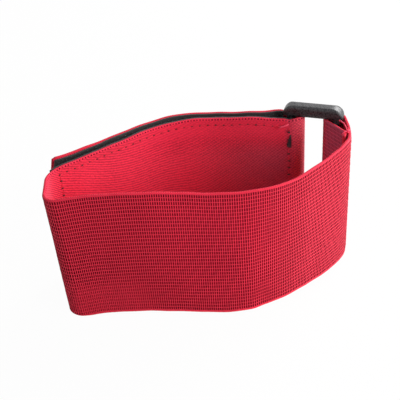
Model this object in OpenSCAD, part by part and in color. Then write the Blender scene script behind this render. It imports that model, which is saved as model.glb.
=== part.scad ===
// Adjustable elastic wrist strap: one wide elastic, a rectangular loop buckle, hook and loop tapes.
// Z is the loop's axis. The strap stands on the buckle's lower end. +Y is the closure side.

/* [Elastic] */
// width of the elastic
band_w = 50; // [20:1:80]
// thickness of the elastic
band_t = 1.3; // [0.8:0.1:2]

/* [Loop] */
// overall length of the closed loop
loop_len = 105.6; // [80:0.2:160]
// overall depth of the closed loop
loop_depth = 54; // [44:0.2:90]
// bend radius at the front left corner
front_corner_r = 4.8; // [3:0.1:10]
// bend radius at the rear left corner
rear_corner_r = 9.3; // [3:0.1:12]
// bend centre of the front left corner, from the front of the loop
front_corner_in = 10; // [7:0.1:20]
// height of the flat between the two left corners
left_flat = 6.5; // [5:0.1:20]
// how far the rear left corner sits to the right of the front one
corner_step = 4.5; // [0:0.1:10]
// bend radius of the front bow
front_bow_r = 34.4; // [20:0.2:60]
// place of the front bow, from the middle of the loop
front_bow_x = 11.4; // [0:0.2:20]
// bend radius of the right end
right_bow_r = 23.1; // [12:0.1:40]
// place of the right bow, from the middle of the loop
right_bow_y = 9.1; // [4:0.1:14]
// bend radius of the rear panel
rear_bow_r = 40.3; // [25:0.1:70]
// place of the rear bow, from the middle of the loop
rear_bow_x = 0.4; // [-10:0.2:10]

/* [Buckle] */
// distance between the axes of the two bars
bar_pitch = 15.9; // [14:0.1:24]
// turn of the buckle against the loop's long axis
buckle_turn = -20.8; // [-35:0.1:0]
// place of the anchor bar, from the middle of the loop
anchor_y = 14.1; // [8:0.1:20]
// diameter of each bar
bar_d = 3.4; // [2.6:0.1:4]
// thickness of the frame at its ends
frame_t = 4.4; // [4:0.1:6]
// height of each end
end_h = 3.8; // [2.5:0.1:5]
// how far each end reaches past the bars
end_over = 1.4; // [0:0.1:2]
// corner radius of the frame
frame_r = 4.2; // [1:0.1:5]
// rounding of the frame's long edges
edge_r = 0.7; // [0.3:0.1:1.2]
// room between an edge of the elastic and the frame
slot_clear = 0.5; // [0.3:0.1:2]

/* [Loops round the bars] */
// room between the anchor bar and the sewn loop round it
anchor_clear = 1.2; // [0.8:0.05:2]
// length of the anchor loop from the bar to the seam
anchor_len = 10.4; // [8:0.1:20]
// elastic left beyond the anchor seam
anchor_end = 3.2; // [2:0.1:10]
// room between the free bar and the loop tape that passes it
turn_clear = 0.4; // [0.15:0.05:1.5]

/* [Tapes] */
// thickness of the loop tape
loop_t = 1.5; // [1:0.1:2.5]
// thickness of the hook tape
hook_t = 1.3; // [0.8:0.1:2]
// room between the two tapes
tape_gap = 0.3; // [0.2:0.05:1]
// how far the tapes stop short of the elastic's edges
tape_inset = 0.3; // [0.1:0.1:3]
// loop tape carried round the left corner
loop_over = 3.4; // [2:0.1:5]
// loop tape beyond the seam at the buckle
loop_under = 0.4; // [0:0.1:0.5]
// run of the tail from the buckle to where it lies along the rear panel
lead = 15; // [14:0.5:20]
// start of the hook tape, from the fold at the buckle
hook_start = 2.2; // [2.2:0.2:14]
// elastic beyond the hook tape at the tip
tip_margin = 0.5; // [0.5:0.1:6]
// tail beyond the left corner
tip_over = -0.9; // [-20:0.1:4]
// how far the tip stands off
tip_lift = 2.4; // [0:0.1:4]

/* [Seams] */
// stitch length
stitch = 3; // [2:0.1:4]
// thread thickness
thread_d = 0.45; // [0.3:0.05:0.8]
// seam to the edge of the elastic
seam_inset = 2.6; // [1.5:0.1:6]
// seam to the ends of a tape
seam_end = 1; // [0.8:0.1:4]
// seam to the end of the loop tape at the left corner
corner_end = 2.7; // [1:0.1:4]
// spacing of the two anchor rows
anchor_rows = 1.8; // [1:0.1:4]
// first anchor row beyond the foot of the anchor loop
anchor_first = 0.6; // [0.4:0.1:1]
// ends of the anchor rows to the edges of the elastic
anchor_margin = 1; // [0.5:0.1:4]
// back-tack of the loop tape seam, below the upper edge
tack_down = 9; // [6:0.5:20]

/* [Hidden] */
$fn = 64;

red = [0.78, 0.1, 0.14];
deep_red = [0.66, 0.07, 0.1];
black = [0.06, 0.06, 0.065];
pile_black = [0.1, 0.1, 0.105];
thread_black = [0.14, 0.13, 0.13];
thread_red = [0.92, 0.2, 0.26];

z0 = end_h + slot_clear;
z1 = z0 + band_w;
frame_h = band_w + 2 * (slot_clear + end_h);
half_t = band_t / 2;
hinge_gap = 0.12;
layer_gap = 0.1;
surface_gap = 0.04;
tail_off = band_t + loop_t + tape_gap + hook_t + 2 * surface_gap;
seam_out = thread_d + surface_gap;

// inner radii of the sewn anchor loop and of the free turn
anchor_r = bar_d / 2 + anchor_clear;
turn_r = bar_d / 2 + turn_clear + loop_t + surface_gap;

// bend centres: the belt runs round them, each with its centre line radius and its sense
anchor_c = anchor_r + half_t;
turn_c = turn_r + half_t;
bar_a = [loop_len / 2 - anchor_c - half_t, anchor_y];
bar_b = bar_a - bar_pitch * [cos(buckle_turn), sin(buckle_turn)];
right_bow = [bar_a.x + anchor_c - right_bow_r, right_bow_y];
front_bow = [front_bow_x, -loop_depth / 2 + half_t + front_bow_r];
front_corner = [-loop_len / 2 + half_t + front_corner_r, -loop_depth / 2 + front_corner_in];
rear_corner = front_corner + [corner_step, left_flat];
rear_bow = [rear_bow_x, loop_depth / 2 - seam_out - half_t - tail_off - rear_bow_r];

function dir(a) = [cos(a), sin(a)];
function left(a) = [-sin(a), cos(a)];

// straight run that leaves one bend and meets the next: start, end, heading
function run(c1, r1, s1, c2, r2, s2) =
    let (d = c2 - c1)
    let (a = atan2(d.y, d.x) - asin((s2 * r2 - s1 * r1) / norm(d)))
    [c1 - s1 * r1 * left(a), c2 - s2 * r2 * left(a), a];

// a stretch of the path: start, heading, length, turn (positive turns left)
function line_of(r) = [r[0], r[2], norm(r[1] - r[0]), 0];
function bend_of(r1, r2, c, s) =
    let (t = s > 0 ? posmod(r2[2] - r1[2]) : -posmod(r1[2] - r2[2]))
    [r1[1], r1[2], norm(r1[1] - c) * abs(t) * PI / 180, t];
function posmod(a) = a - 360 * floor(a / 360);
function bend_r(s) = s[2] / (abs(s[3]) * PI / 180);
function sense(s) = s[3] > 0 ? 1 : -1;
function centre(s) = s[0] + sense(s) * bend_r(s) * left(s[1]);

// place and heading at a distance along one stretch
function along(s, d) =
    s[3] == 0
    ? [s[0] + d * dir(s[1]), s[1]]
    : let (a = s[1] + s[3] * d / s[2])
      [centre(s) - sense(s) * bend_r(s) * left(a), a];

// place and heading at a distance along a path
function walk(path, d, i = 0) =
    d <= path[i][2] || i == len(path) - 1
    ? along(path[i], d)
    : walk(path, d - path[i][2], i + 1);
function total(path, i = 0) = i == len(path) ? 0 : path[i][2] + total(path, i + 1);

// the part of a path between two distances
function clip(path, d0, d1, i = 0, s = 0) =
    i == len(path)
    ? []
    : let (e0 = max(d0 - s, 0))
      let (e1 = min(d1 - s, path[i][2]))
      let (p = along(path[i], e0))
      concat(
          e1 - e0 > 0.001 ? [[p[0], p[1], e1 - e0, path[i][3] * (e1 - e0) / path[i][2]]] : [],
          clip(path, d0, d1, i + 1, s + path[i][2])
      );

// a path moved sideways, and a path walked the other way
function beside(path, off) = [
    for (s = path)
        [s[0] + off * left(s[1]), s[1], s[2] - off * s[3] * PI / 180, s[3]]
];
function backward(path) = [
    for (i = [len(path) - 1:-1:0])
        let (e = along(path[i], path[i][2]))
        [e[0], e[1] + 180, path[i][2], -path[i][3]]
];

run_right = run(bar_a, anchor_c, -1, right_bow, right_bow_r, -1);
run_bow = run(right_bow, right_bow_r, -1, front_bow, front_bow_r, -1);
run_front = run(front_bow, front_bow_r, -1, front_corner, front_corner_r, -1);
run_left = run(front_corner, front_corner_r, -1, rear_corner, rear_corner_r, -1);
run_rear = run(rear_corner, rear_corner_r, -1, rear_bow, rear_bow_r, -1);
run_in = run(rear_bow, rear_bow_r, -1, bar_b, turn_c, 1);

// the panel from the anchor bar round to the buckle's other bar
panel = [
    line_of(run_right),
    bend_of(run_right, run_bow, right_bow, -1),
    line_of(run_bow),
    bend_of(run_bow, run_front, front_bow, -1),
    line_of(run_front),
    bend_of(run_front, run_left, front_corner, -1),
    line_of(run_left),
    bend_of(run_left, run_rear, rear_corner, -1),
    line_of(run_rear),
    bend_of(run_rear, run_in, rear_bow, -1),
    line_of(run_in)
];
rear = [panel[8], panel[9], panel[10]];

// the sewn end: a straight flap from the seam to the anchor bar, then round the bar
seam_at = walk(panel, anchor_len);
flap_foot = seam_at[0] - (band_t + layer_gap) * left(seam_at[1]);
flap_end = backward(beside(clip(panel, anchor_len, anchor_len + anchor_end), -band_t - layer_gap));
run_flap = run(flap_foot, 0, -1, bar_a, anchor_c, -1);
anchor = [line_of(run_flap), bend_of(run_flap, run_right, bar_a, -1)];

// the tail: off the turn, a counter bend, then parallel to the rear panel
lead_r = 20;
lead_bend = run_in[1] - lead * dir(run_in[2]) + (tail_off + lead_r) * left(run_in[2]);
run_lead = run(bar_b, turn_c, 1, lead_bend, lead_r, -1);
tail_r = rear_bow_r + tail_off;
run_tail = run(lead_bend, lead_r, -1, rear_bow, tail_r, 1);
tip = run_rear[0] + (tail_off + tip_lift) * left(run_rear[2]) - tip_over * dir(run_rear[2]);
run_tip = run(rear_bow, tail_r, 1, tip, 0, 1);
turn = [bend_of(run_in, run_lead, bar_b, 1)];
tail = [
    line_of(run_lead),
    bend_of(run_lead, run_tail, lead_bend, -1),
    line_of(run_tail),
    bend_of(run_tail, run_tip, rear_bow, 1),
    line_of(run_tip)
];

// how finely a bend is stepped, in degrees, below and above a bend radius
tight_r = 8;
tight_step = 9;
wide_step = 3;
function steps(s) =
    s[3] == 0
    ? 1
    : ceil(abs(s[3]) / (bend_r(s) < tight_r ? tight_step : wide_step));
function turn_to(a, b) = posmod(b - a + 180) - 180;

// places along a path, each with its heading and its mitre
function spots(path) = concat(
    [[path[0][0], path[0][1], 1]],
    [
        for (i = [0:len(path) - 1])
            let (n = steps(path[i]))
            for (k = [1:n])
                let (p = along(path[i], path[i][2] * k / n))
                let (t = k == n && i < len(path) - 1 ? turn_to(p[1], path[i + 1][1]) : 0)
                [p[0], p[1] + t / 2, 1 / cos(t / 2)]
    ]
);
function side(list, off) = [for (q = list) q[0] + off * q[2] * left(q[1])];
function flip(list) = [for (i = [len(list) - 1:-1:0]) list[i]];

// one layer along a path, between two distances to the left of it
module layer(path, near, far, low, high) {
    list = spots(path);
    translate([0, 0, low])
        linear_extrude(high - low)
            polygon(concat(side(list, near), flip(side(list, far))));
}

// one stitch lying on a face, along the path or up the width
stitch_shown = 0.74;
stitch_l = stitch * stitch_shown;
module stitch_along(path, d, face, z) {
    r = thread_d / 2;
    layer(clip(path, d - stitch_l / 2, d + stitch_l / 2), face - r, face + r, z - r, z + r);
}
module stitch_up(path, d, face, z) {
    p = walk(path, d);
    c = p[0] + face * left(p[1]);
    translate([c.x, c.y, z])
        cylinder(d = thread_d, h = stitch_l, center = true, $fn = 8);
}

// a stitched rectangle on a face
module stitch_frame(path, d0, d1, face) {
    n = round((d1 - d0) / stitch);
    h = band_w - 2 * seam_inset;
    m = round(h / stitch);
    for (i = [0:n - 1], z = [z0 + seam_inset, z1 - seam_inset])
        stitch_along(path, d0 + (i + 0.5) * (d1 - d0) / n, face, z);
    for (j = [0:m - 1], d = [d0, d1])
        stitch_up(path, d, face, z0 + seam_inset + (j + 0.5) * h / m);
}

// red elastic: anchor loop, front panel, left turn, rear panel and the turn round the free bar
module elastic_band() {
    color(red)
        layer(concat(flap_end, anchor, panel, turn), -half_t, half_t, z0, z1);
}

// red elastic tail, hinged where it leaves the turn
module tail_flap() {
    color(red)
        layer(clip(tail, hinge_gap, total(tail)), -half_t, half_t, z0, z1);
}

// black pile tape on the outside of the rear panel, from the left corner to below the free bar
loop_start = total(panel) - total(rear) - loop_over;
module loop_tape() {
    stop = [[along(rear[2], rear[2][2])[0], rear[2][1], loop_under, 0]];
    color(pile_black)
        layer(
            concat(clip(panel, loop_start, total(panel)), stop),
            half_t + surface_gap,
            half_t + surface_gap + loop_t,
            z0 + tape_inset,
            z1 - tape_inset
        );
}

// black hook tape on the inside of the tail, from near the fold to the tip
hook_stop = total(tail) - tip_margin;
module hook_tape() {
    color(black)
        layer(
            clip(tail, hook_start, hook_stop),
            half_t + surface_gap,
            half_t + surface_gap + hook_t,
            z0 + tape_inset,
            z1 - tape_inset
        );
}

// one round bar of the buckle
module bar(c) {
    translate([c.x, c.y, end_h / 2])
        cylinder(d = bar_d, h = frame_h - end_h);
}

// square with round corners
module round_square(w, h, r) {
    translate([r, 0])
        square([w - 2 * r, h]);
    translate([0, r])
        square([w, h - 2 * r]);
    for (x = [r, w - r], y = [r, h - r])
        translate([x, y])
            circle(r);
}

// moulded end frame: three rounded outlines crossed, less the window
plan_r = edge_r * 1.6;
past = 1;
module frame_ends() {
    w = bar_pitch + bar_d + 2 * end_over;
    intersection() {
        translate([-w / 2, frame_t / 2, 0])
            rotate([90, 0, 0])
                linear_extrude(frame_t)
                    round_square(w, frame_h, frame_r);
        translate([-w / 2 - past, -frame_t / 2, 0])
            rotate([90, 0, 90])
                linear_extrude(w + 2 * past)
                    round_square(frame_t, frame_h, edge_r);
        translate([-w / 2, -frame_t / 2, -past])
            linear_extrude(frame_h + 2 * past)
                round_square(w, frame_t, plan_r);
        difference() {
            translate([-w / 2 - past, -frame_t, -past])
                cube([w + 2 * past, 2 * frame_t, frame_h + 2 * past]);
            translate([-w / 2 - 2 * past, -frame_t - past, end_h])
                cube([w + 4 * past, 2 * (frame_t + past), frame_h - 2 * end_h]);
        }
    }
}

// black plastic rectangular loop
module buckle() {
    mid = (bar_a + bar_b) / 2;
    color(black) {
        bar(bar_a);
        bar(bar_b);
        translate([mid.x, mid.y, 0])
            rotate(buckle_turn)
                frame_ends();
    }
}

// stitched rectangle that holds the loop tape, seen on the inside of the rear panel
inside_face = -half_t - thread_d / 2 - surface_gap;
tack_step = thread_d * 1.3;
module loop_tape_seam() {
    d1 = total(panel) + loop_under - seam_end;
    color(thread_black) {
        stitch_frame(panel, loop_start + corner_end, d1, inside_face);
        for (k = [-1, 1])
            stitch_up(panel, d1 + k * tack_step, inside_face, z1 - tack_down);
    }
}

// stitched rectangle that holds the hook tape, seen on the outside of the tail
module hook_tape_seam() {
    color(thread_red)
        stitch_frame(tail, hook_start + seam_end, hook_stop - seam_end, inside_face);
}

// rows of stitches that close the anchor loop, on both faces
module anchor_seam() {
    h = band_w - 2 * anchor_margin;
    m = round(h / stitch);
    inner = inside_face - band_t - layer_gap;
    outer = half_t + thread_d / 2 + surface_gap;
    color(deep_red)
        for (j = [0:m - 1], f = [inner, outer], d = [0, anchor_rows])
            stitch_up(
                panel,
                anchor_len + anchor_first + d,
                f,
                z0 + anchor_margin + (j + 0.5) * h / m
            );
}

// knot and two loose thread ends on the top edge of the anchor seam: heading, rise, length
knot_d = 1.5;
loose_ends = [[109, 15, 6], [200, 4, 2.4]];
module thread_ends() {
    p = walk(panel, anchor_len + anchor_first);
    k = p[0] - (half_t + layer_gap / 2) * left(p[1]);
    color(thread_red)
        translate([k.x, k.y, z1 + knot_d / 2 + surface_gap]) {
            sphere(d = knot_d);
            for (e = loose_ends)
                rotate([0, 90 - e[1], e[0]])
                    cylinder(d = thread_d, h = e[2]);
        }
}

elastic_band();
tail_flap();
buckle();
loop_tape();
hook_tape();
loop_tape_seam();
hook_tape_seam();
anchor_seam();
thread_ends();
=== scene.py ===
import math

import bpy
import numpy as np
from mathutils import Matrix, Vector

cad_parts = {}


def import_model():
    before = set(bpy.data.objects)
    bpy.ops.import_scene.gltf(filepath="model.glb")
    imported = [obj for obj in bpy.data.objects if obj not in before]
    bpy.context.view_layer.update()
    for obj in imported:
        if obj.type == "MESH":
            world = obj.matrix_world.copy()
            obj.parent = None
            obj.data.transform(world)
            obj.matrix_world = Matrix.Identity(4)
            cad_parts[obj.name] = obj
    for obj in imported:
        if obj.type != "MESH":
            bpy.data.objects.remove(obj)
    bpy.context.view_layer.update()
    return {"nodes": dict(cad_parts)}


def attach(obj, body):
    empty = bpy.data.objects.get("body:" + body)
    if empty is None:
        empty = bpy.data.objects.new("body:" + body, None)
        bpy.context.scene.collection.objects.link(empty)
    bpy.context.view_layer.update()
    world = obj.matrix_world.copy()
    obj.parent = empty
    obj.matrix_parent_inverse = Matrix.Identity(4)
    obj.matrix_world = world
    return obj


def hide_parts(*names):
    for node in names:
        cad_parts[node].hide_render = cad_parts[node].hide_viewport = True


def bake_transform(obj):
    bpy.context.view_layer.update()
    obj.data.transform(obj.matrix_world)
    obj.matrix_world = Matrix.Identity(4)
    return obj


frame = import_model()

# Sizes of the strap in millimetres, as in the part's source
MM = 0.001
BAND_W = 50.0
BAND_T = 1.3
LOOP_LEN = 105.6
LOOP_DEPTH = 54.0
FRONT_CORNER_R = 4.8
REAR_CORNER_R = 9.3
FRONT_CORNER_IN = 10.0
LEFT_FLAT = 6.5
CORNER_STEP = 4.5
FRONT_BOW_R = 34.4
FRONT_BOW_X = 11.4
RIGHT_BOW_R = 23.1
RIGHT_BOW_Y = 9.1
REAR_BOW_R = 40.3
REAR_BOW_X = 0.4
BAR_PITCH = 15.9
BUCKLE_TURN = -20.8
ANCHOR_Y = 14.1
BAR_D = 3.4
END_H = 3.8
SLOT_CLEAR = 0.5
ANCHOR_CLEAR = 1.2
ANCHOR_LEN = 10.4
ANCHOR_END = 3.2
TURN_CLEAR = 0.4
LOOP_T = 1.5
HOOK_T = 1.3
TAPE_GAP = 0.3
TAPE_INSET = 0.3
LOOP_OVER = 3.4
LOOP_UNDER = 0.4
LEAD = 15.0
LEAD_R = 20.0
TIP_MARGIN = 0.5
TIP_LIFT = 2.4
TIP_OVER = -0.9
HOOK_START = 2.2
STITCH = 3.0
THREAD_D = 0.45
SEAM_INSET = 2.6
SEAM_END = 1.0
CORNER_END = 1.9
ANCHOR_ROWS = 1.8
ANCHOR_FIRST = 0.6
ANCHOR_MARGIN = 1.0
TACK_DOWN = 9.0
LAYER_GAP = 0.1
SURFACE_GAP = 0.04

Z0 = END_H + SLOT_CLEAR
Z1 = Z0 + BAND_W
HALF_T = BAND_T / 2
TAIL_OFF = BAND_T + LOOP_T + TAPE_GAP + HOOK_T + 2 * SURFACE_GAP

# Weave of the elastic: rows across the width, columns along the length
ROWS = 35
ROW = BAND_W / ROWS
ROW_PHASE = 0.27
COLUMN = 0.745
SLOT_DEPTH = 0.2
GROOVE_DEPTH = 0.08
RIB = 0.815
DASH = 1.37
BEAD = 1.12
BENT_RIB = 1.2
TWILL_FROM = 158.0
TWILL_TURN = 54.0
FINE_DEPTH = 0.05
EDGE_SOFT = 0.8
EDGE_THIN = 0.3
TAPE_SOFT = 0.4
EDGE_SHARES = (0.03, 0.12, 0.3, 0.55, 0.85)

rng = np.random.default_rng(7)


# Plan path of the elastic: straight runs between bends

def heading_vector(angle):
    return np.array([math.cos(math.radians(angle)), math.sin(math.radians(angle))])


def left_of(angle):
    return np.array([-math.sin(math.radians(angle)), math.cos(math.radians(angle))])


def run(c1, r1, s1, c2, r2, s2):
    """Straight run that leaves one bend and meets the next: start, end, heading."""
    d = c2 - c1
    angle = math.degrees(math.atan2(d[1], d[0]) - math.asin((s2 * r2 - s1 * r1) / np.hypot(*d)))
    return c1 - s1 * r1 * left_of(angle), c2 - s2 * r2 * left_of(angle), angle


def line_of(r):
    return r[0], r[2], float(np.hypot(*(r[1] - r[0]))), 0.0


def bend_of(r1, r2, centre, sense):
    """Bend between two runs: start, heading, length, turn."""
    turn = (r2[2] - r1[2]) % 360 if sense > 0 else -((r1[2] - r2[2]) % 360)
    return r1[1], r1[2], float(np.hypot(*(r1[1] - centre))) * math.radians(abs(turn)), turn


def belt(*rollers):
    """Straight runs, and the whole path, round rollers of (centre, radius, sense)."""
    runs = [run(*one, *two) for one, two in zip(rollers, rollers[1:])]
    path = [line_of(runs[0])]
    for before, after, (centre, _, sense) in zip(runs, runs[1:], rollers[1:]):
        path += [bend_of(before, after, centre, sense), line_of(after)]
    return runs, path


def along(stretch, d):
    """Place and heading at a distance along one stretch."""
    start, angle, length, turn = stretch
    if turn == 0:
        return start + d * heading_vector(angle), angle
    radius = length / math.radians(turn)
    now = angle + turn * d / length
    return start + radius * (left_of(angle) - left_of(now)), now


def walk(path, d):
    """Place and heading at a distance along a path, straight on past its ends."""
    for stretch in path[:-1]:
        if d <= stretch[2]:
            return along(stretch, d)
        d -= stretch[2]
    return along(path[-1], d)


def total(path):
    return sum(stretch[2] for stretch in path)


def clip(path, d0, d1):
    kept = []
    done = 0.0
    for stretch in path:
        e0 = max(d0 - done, 0)
        e1 = min(d1 - done, stretch[2])
        if e1 - e0 > 0.001:
            place, angle = along(stretch, e0)
            kept.append((place, angle, e1 - e0, stretch[3] * (e1 - e0) / stretch[2]))
        done += stretch[2]
    return kept


def beside(path, off):
    return [(s[0] + off * left_of(s[1]), s[1], s[2] - off * math.radians(s[3]), s[3]) for s in path]


def backward(path):
    ends = [(along(s, s[2]), s) for s in reversed(path)]
    return [(place, angle + 180, s[2], -s[3]) for (place, angle), s in ends]


anchor_c = BAR_D / 2 + ANCHOR_CLEAR + HALF_T
turn_c = BAR_D / 2 + TURN_CLEAR + LOOP_T + SURFACE_GAP + HALF_T
bar_a = np.array([LOOP_LEN / 2 - anchor_c - HALF_T, ANCHOR_Y])
bar_b = bar_a - BAR_PITCH * heading_vector(BUCKLE_TURN)
right_bow = np.array([bar_a[0] + anchor_c - RIGHT_BOW_R, RIGHT_BOW_Y])
front_bow = np.array([FRONT_BOW_X, -LOOP_DEPTH / 2 + HALF_T + FRONT_BOW_R])
front_corner = np.array([-LOOP_LEN / 2 + HALF_T + FRONT_CORNER_R, -LOOP_DEPTH / 2 + FRONT_CORNER_IN])
rear_corner = front_corner + np.array([CORNER_STEP, LEFT_FLAT])
rear_bow_y = LOOP_DEPTH / 2 - THREAD_D - SURFACE_GAP - HALF_T - TAIL_OFF - REAR_BOW_R
rear_bow = np.array([REAR_BOW_X, rear_bow_y])

panel_runs, panel = belt(
    (bar_a, anchor_c, -1),
    (right_bow, RIGHT_BOW_R, -1),
    (front_bow, FRONT_BOW_R, -1),
    (front_corner, FRONT_CORNER_R, -1),
    (rear_corner, REAR_CORNER_R, -1),
    (rear_bow, REAR_BOW_R, -1),
    (bar_b, turn_c, 1),
)
run_right = panel_runs[0]
run_rear = panel_runs[-2]
run_in = panel_runs[-1]

seam_place, seam_angle = walk(panel, ANCHOR_LEN)
flap_foot = seam_place - (BAND_T + LAYER_GAP) * left_of(seam_angle)
flap_end = backward(beside(clip(panel, ANCHOR_LEN, ANCHOR_LEN + ANCHOR_END), -BAND_T - LAYER_GAP))
run_flap = run(flap_foot, 0, -1, bar_a, anchor_c, -1)
anchor = flap_end + [line_of(run_flap), bend_of(run_flap, run_right, bar_a, -1)]

lead_side = (TAIL_OFF + LEAD_R) * left_of(run_in[2])
lead_bend = run_in[1] - LEAD * heading_vector(run_in[2]) + lead_side
tip_side = (TAIL_OFF + TIP_LIFT) * left_of(run_rear[2])
tip = run_rear[0] + tip_side - TIP_OVER * heading_vector(run_rear[2])
tail_r = REAR_BOW_R + TAIL_OFF
tail_runs, tail = belt((bar_b, turn_c, 1), (lead_bend, LEAD_R, -1), (rear_bow, tail_r, 1), (tip, 0, 1))
run_lead = tail_runs[0]
turn = [bend_of(run_in, run_lead, bar_b, 1)]
elastic = anchor + panel + turn + tail

# Distances along the elastic, from its sewn end
FLAP_TO = total(anchor[:-1])
PANEL_AT = total(anchor)
TURN_AT = PANEL_AT + total(panel)
HINGE_AT = TURN_AT + total(turn)
TIP_AT = HINGE_AT + total(tail)
LOOP_FROM = PANEL_AT + total(panel[:8]) - LOOP_OVER
LOOP_TO = TURN_AT + LOOP_UNDER
HOOK_FROM = HINGE_AT + HOOK_START
HOOK_TO = TIP_AT - TIP_MARGIN
SEAM_LEFT = LOOP_FROM + CORNER_END
SEAM_RIGHT = LOOP_TO - SEAM_END
TWILL_AT = PANEL_AT + TWILL_FROM


# How the cloth strays from the plan path

def step(low, high, x):
    t = np.clip((x - low) / (high - low), 0, 1)
    return t * t * (3 - 2 * t)


def hump(x, middle, width):
    return np.exp(-(((x - middle) / width) ** 2))


def curve(knots):
    """Smooth curve through (distance, value) knots, level at its ends and at each crest."""
    at = np.array([k[0] for k in knots])
    value = np.array([k[1] for k in knots])
    gap = np.diff(at)
    rise = np.diff(value) / gap
    before = rise[:-1]
    after = rise[1:]
    same_way = before * after > 0
    slope = np.zeros(len(at))
    slope[1:-1][same_way] = (2 * before * after)[same_way] / (before + after)[same_way]

    def value_at(d):
        i = np.clip(np.searchsorted(at, d) - 1, 0, len(gap) - 1)
        t = np.clip((d - at[i]) / gap[i], 0, 1)
        bent = (1 - t) * slope[i] - t * slope[i + 1]
        straight = (value[i + 1] - value[i]) * (2 * t - 1)
        even = value[i] + (value[i + 1] - value[i]) * t
        return even + t * (1 - t) * (gap[i] * bent + straight)

    return value_at


def from_panel(*knots):
    return [(PANEL_AT + d, value) for d, value in knots]


def from_tip(*knots):
    return [(TIP_AT - d, value) for d, value in knots]


# Lower edge of the wall, outward of the upper one
RIGHT_LEAN = from_panel(
    (10, 0), (20, -0.35), (30, -0.75), (37, -1.3), (44, -1.35), (50, -1.25), (57, -0.4), (62, 1.0)
)
LEFT_LEAN = from_panel((70, 1.6), (90, 0.5), (103, 0), (112, 0), (121, -0.2), (130, 0))
lean_at = curve(RIGHT_LEAN + LEFT_LEAN)
CORNER_LEAN = (1.5, -1.0)
CORNER_LEAN_AT = PANEL_AT + 124
CORNER_LEAN_WIDE = 12.0
# Bulge of the two ends of the loop, over the full height
BULGE = from_panel((8, 0), (17, 0.6), (30, 0.6), (44, 0), (112, 0), (126, 0.4), (136, 0.35), (146, 0))
bulge_at = curve(BULGE)
# Sag of the left corner, and rise of the upper edge along the front, the rear and the tail
SAG = from_panel((112, 0), (118, 0.4), (122, 0.85), (126, 1.1), (130, 0.8), (142, 0))
sag_at = curve(SAG)
BOW_RISE = from_panel((14, 0.3), (20, 0.9), (26, 0.5), (30, 0.0), (40, -0.2))
FRONT_RISE = from_panel((50, -0.56), (60, -0.34), (71, -0.66), (83, 0.12))
LEFT_RISE = from_panel(
    (98, 0.8), (113, 0.42), (119, 0.35), (125, 0), (136, 0), (143, -0.4), (150, -0.08), (164, -0.1)
)
REAR_RISE = from_panel(
    (176, 0.15), (200, 0.33), (210, 0.38), (222, 0.85), (229, 0.4), (238, 0.1), (243, -1.0)
)
LEAD_RISE = from_tip((89.5, -1.0), (87.5, 0), (84, 0.5), (77, 0.85), (67, 0.2))
TAIL_RISE = from_tip((57, 0.4), (46, 0.75), (36, 0.4), (22, 0), (14, -0.4))
TIP_RISE = from_tip((1.2, -0.4), (0, -0.9))
rise_at = curve(BOW_RISE + FRONT_RISE + LEFT_RISE + REAR_RISE + LEAD_RISE + TAIL_RISE + TIP_RISE)
# How far down the rise, the seam's pull and the small waves reach
RISE_DEEP = 25.0
PULL_DEEP = 5.0
WAVES_DEEP = 6.0
# Where the slow waves of the face set in and die away
WAVES_FROM = (PANEL_AT + 16, PANEL_AT + 30)
WAVES_TO = (TURN_AT - 12, TURN_AT - 4)
# The tip: curl inwards and slanting cut
TIP_CURL = 0.5
TIP_CURL_LEN = 4.0
TIP_CUT = 1.4
TIP_CUT_DOWN = 6.0
TIP_CUT_LEN = 10.0
TIP_LONG = 0.7
# Upper edge of the hook tape
HOOK_RISE = 0.3
HOOK_DIP = 0.55
HOOK_DIP_AT = (TIP_AT - 22, TIP_AT - 10)
HOOK_DIP_DEEP = 8.0


def lean(d, z, normal):
    """Shift in plan: the wall's lean towards its lower edge, and the slanting cut of the tip."""
    down = np.clip((Z1 - z) / BAND_W, 0, 1)
    outward = lean_at(d)
    at_corner = hump(d, CORNER_LEAN_AT, CORNER_LEAN_WIDE)
    dx = outward * normal[0] + at_corner * CORNER_LEAN[0]
    dy = outward * normal[1] + at_corner * CORNER_LEAN[1]
    cut = TIP_LONG + TIP_CUT * np.clip((Z1 - z) / TIP_CUT_DOWN, 0, 1)
    ahead = cut * step(TIP_AT - TIP_CUT_LEN, TIP_AT, d)
    return dx * down + ahead * normal[1], dy * down - ahead * normal[0]


def wobble(d, z):
    """Slow waves of the cloth across its face, none at the bars and in the sewn end."""
    free = step(*WAVES_FROM, d) * (1 - step(*WAVES_TO, d))
    slow = 0.09 * np.sin(d / 7.3 + z / 19.0) + 0.06 * np.sin(d / 3.9 - z / 11.0 + 1.0)
    curl = np.clip((d - TIP_AT + TIP_CURL_LEN) / TIP_CURL_LEN, 0, 1) ** 2
    return free * slow + bulge_at(d) - TIP_CURL * curl


def rim_shift(d, z):
    """Rise and sag of the edges, small waves, and the pull of the loop tape seam at its right end."""
    waves = 0.07 * np.sin(d / 2.9) + 0.05 * np.sin(d / 1.7 + 2.0)
    pull = -0.35 * hump(d, SEAM_RIGHT, 0.8) + 0.28 * hump(d, SEAM_RIGHT + 3.2, 1.8)
    near = step(Z1 - WAVES_DEEP, Z1, z) - step(Z0 + WAVES_DEEP, Z0, z)
    rise = rise_at(d) * step(Z1 - RISE_DEEP, Z1, z) - sag_at(d)
    return rise + near * waves + step(Z1 - PULL_DEEP, Z1, z) * pull


def spot(d, z, off):
    """Point of the cloth in metres: distance along, height, offset to the left."""
    place, angle = walk(elastic, d)
    normal = left_of(angle)
    dx, dy = lean(d, z, normal)
    out = off + wobble(d, z)
    x = place[0] + out * normal[0] + dx
    y = place[1] + out * normal[1] + dy
    return Vector((x, y, z + rim_shift(d, z))) * MM


# Mesh making

def linked(name, data):
    obj = bpy.data.objects.new(name, data)
    bpy.context.scene.collection.objects.link(obj)
    return obj


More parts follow.
